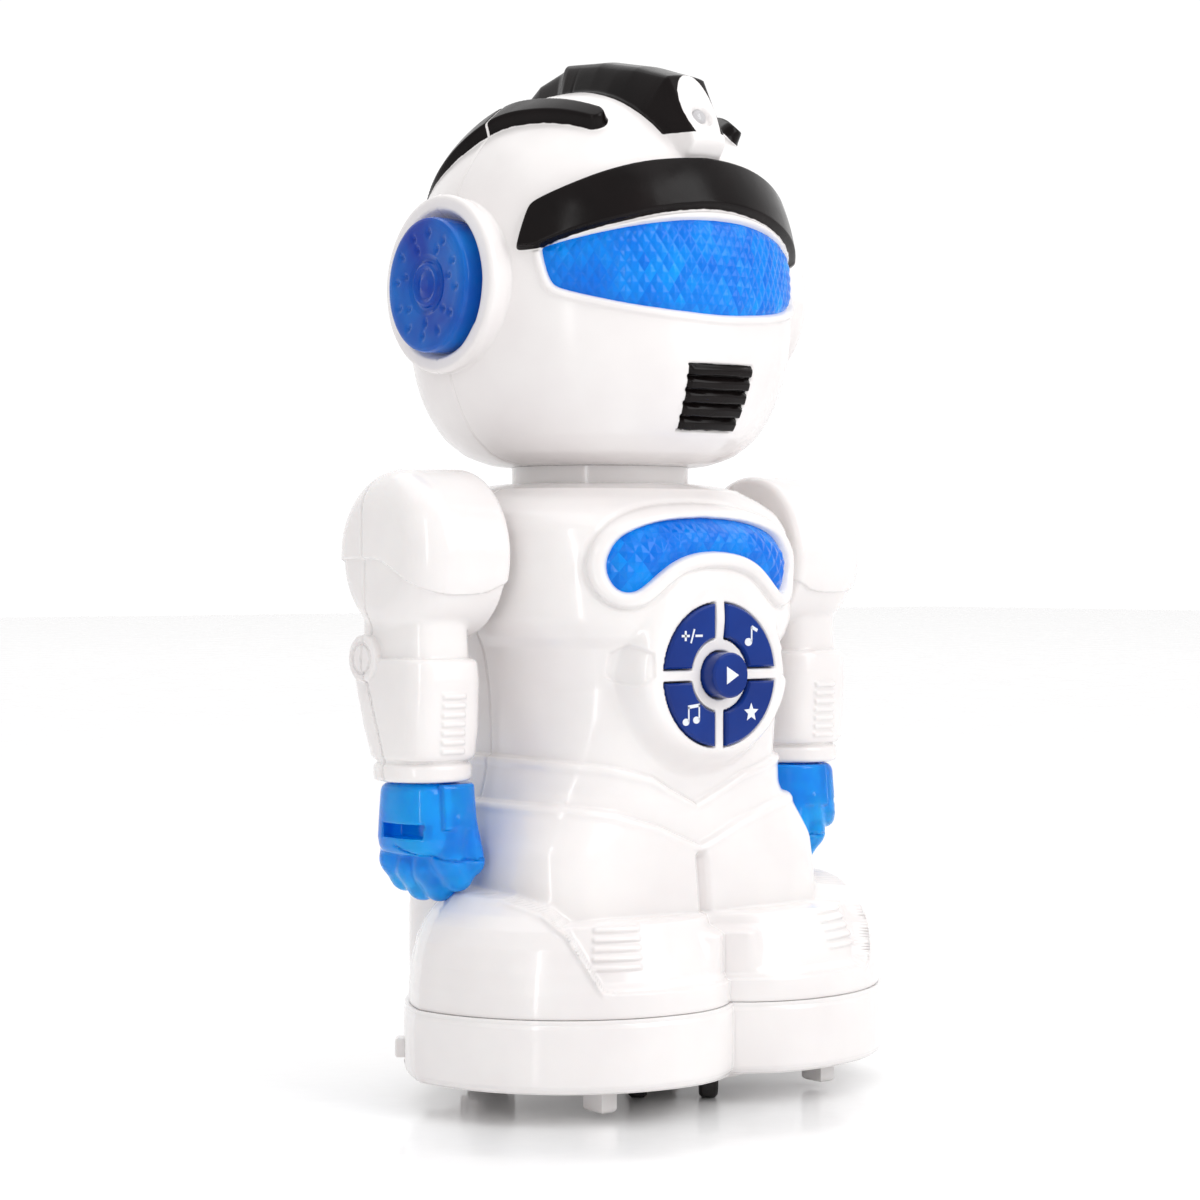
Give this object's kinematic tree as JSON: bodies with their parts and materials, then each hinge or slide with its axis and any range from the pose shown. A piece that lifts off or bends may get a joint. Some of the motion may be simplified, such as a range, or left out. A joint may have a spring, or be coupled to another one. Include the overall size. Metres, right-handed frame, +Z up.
{
  "type": "toy robot",
  "caption": "Battery-powered walking robot toy with a turning head, swinging arms, push buttons on the chest and translucent blue lenses.",
  "frame": {"origin": "middle of the toy's bounding box at floor level", "axes": "+Z up, the robot faces -Y, its right hand is on -X"},
  "size_m": [0.1398, 0.1067, 0.253],
  "materials": {
    "white_shell": "glossy",
    "blue_lens": "glossy translucent",
    "blue_button": "glossy translucent",
    "azure_hand": "glossy translucent",
    "clear_led": "clear",
    "circuit_board": "matte",
    "black_plastic": "matte",
    "black_rubber": "matte",
    "soft_pad": "matte",
    "steel": "brushed",
    "battery_skin": "satin",
    "grey_plastic": "matte"
  },
  "bodies": {
    "body": {"body_front_shell": "white_shell", "body_back_shell": "white_shell", "body_screws": "steel", "chest_lens": "blue_lens", "chest_lamp_board": "circuit_board", "button_pad": "soft_pad", "main_board": "circuit_board", "board_screws": "steel", "loudspeaker": "black_plastic", "battery_box": "grey_plastic", "batteries": "battery_skin", "battery_contacts": "steel", "base_pan": "white_shell", "base_screws": "steel", "power_switch_body": "black_plastic", "roller_pins": "steel", "gearbox_housing": "grey_plastic", "gearbox_screws": "steel", "drive_motor": "steel"},
    "head": {"head_front_shell": "white_shell", "head_back_shell": "white_shell", "head_screws": "steel", "visor_lens": "blue_lens", "crest_led": "clear_led", "right_ear_disc": "blue_lens", "left_ear_disc": "blue_lens", "head_lamp_board": "circuit_board", "neck_ring": "white_shell"},
    "right_arm": {"right_arm_front_shell": "white_shell", "right_arm_back_shell": "white_shell", "right_arm_screws": "steel", "right_hand": "azure_hand", "right_shoulder_pin": "grey_plastic"},
    "left_arm": {"left_arm_front_shell": "white_shell", "left_arm_back_shell": "white_shell", "left_arm_screws": "steel", "left_hand": "azure_hand", "left_shoulder_pin": "grey_plastic"},
    "centre_button": {"centre_button": "blue_button"},
    "upper_right_button": {"upper_right_button": "blue_button"},
    "upper_left_button": {"upper_left_button": "blue_button"},
    "lower_right_button": {"lower_right_button": "blue_button"},
    "lower_left_button": {"lower_left_button": "blue_button"},
    "battery_door": {"battery_door": "white_shell", "door_screw": "steel"},
    "power_switch": {"power_switch_knob": "grey_plastic"},
    "drive_turret": {"drive_turret": "black_plastic", "turret_retainer": "black_plastic"},
    "drive_wheels": {"drive_axle": "steel", "drive_wheel_hubs": "white_shell", "drive_tyres": "black_rubber"},
    "rear_roller_right": {"rear_roller_right": "white_shell"},
    "rear_roller_left": {"rear_roller_left": "white_shell"}
  },
  "joints": [
    {"name": "head_swivel", "type": "hinge", "parent": "body", "child": "head", "pos_m": [0, 0.00575, 0.15], "axis": [0, 0, 1], "range_deg": [-75, 75]},
    {"name": "right_shoulder", "type": "hinge", "parent": "body", "child": "right_arm", "pos_m": [-0.045, 0.00175, 0.1303], "axis": [-1, 0, 0], "range_deg": [-45, 120]},
    {"name": "left_shoulder", "type": "hinge", "parent": "body", "child": "left_arm", "pos_m": [0.045, 0.00175, 0.1303], "axis": [-1, 0, 0], "range_deg": [-45, 120]},
    {"name": "centre_button_press", "type": "slide", "parent": "body", "child": "centre_button", "axis": [0, 1, 0], "range_m": [0, 0.0014], "stiffness_N_per_m": 250, "springref_m": -0.0015},
    {"name": "upper_right_button_press", "type": "slide", "parent": "body", "child": "upper_right_button", "axis": [0, 1, 0], "range_m": [0, 0.0014], "stiffness_N_per_m": 250, "springref_m": -0.0015},
    {"name": "upper_left_button_press", "type": "slide", "parent": "body", "child": "upper_left_button", "axis": [0, 1, 0], "range_m": [0, 0.0014], "stiffness_N_per_m": 250, "springref_m": -0.0015},
    {"name": "lower_right_button_press", "type": "slide", "parent": "body", "child": "lower_right_button", "axis": [0, 1, 0], "range_m": [0, 0.0014], "stiffness_N_per_m": 250, "springref_m": -0.0015},
    {"name": "lower_left_button_press", "type": "slide", "parent": "body", "child": "lower_left_button", "axis": [0, 1, 0], "range_m": [0, 0.0014], "stiffness_N_per_m": 250, "springref_m": -0.0015},
    {"name": "battery_door_lift", "type": "slide", "parent": "body", "child": "battery_door", "axis": [0, 1, 0], "range_m": [0, 0.04]},
    {"name": "power_switch_slide", "type": "slide", "parent": "body", "child": "power_switch", "axis": [0.6157, 0.788, 0], "range_m": [0, 0.004]},
    {"name": "turret_turn", "type": "hinge", "parent": "body", "child": "drive_turret", "pos_m": [0, -0.02275, 0.0085], "axis": [0, 0, 1], "continuous": true},
    {"name": "drive_axle_spin", "type": "hinge", "parent": "drive_turret", "child": "drive_wheels", "pos_m": [-0.00369, -0.02748, 0.008], "axis": [0.788, -0.6157, 0], "continuous": true},
    {"name": "right_roller_spin", "type": "hinge", "parent": "body", "child": "rear_roller_right", "pos_m": [-0.026, 0.01775, 0.006], "axis": [1, 0, 0], "continuous": true},
    {"name": "left_roller_spin", "type": "hinge", "parent": "body", "child": "rear_roller_left", "pos_m": [0.026, 0.01775, 0.006], "axis": [1, 0, 0], "continuous": true}
  ]
}
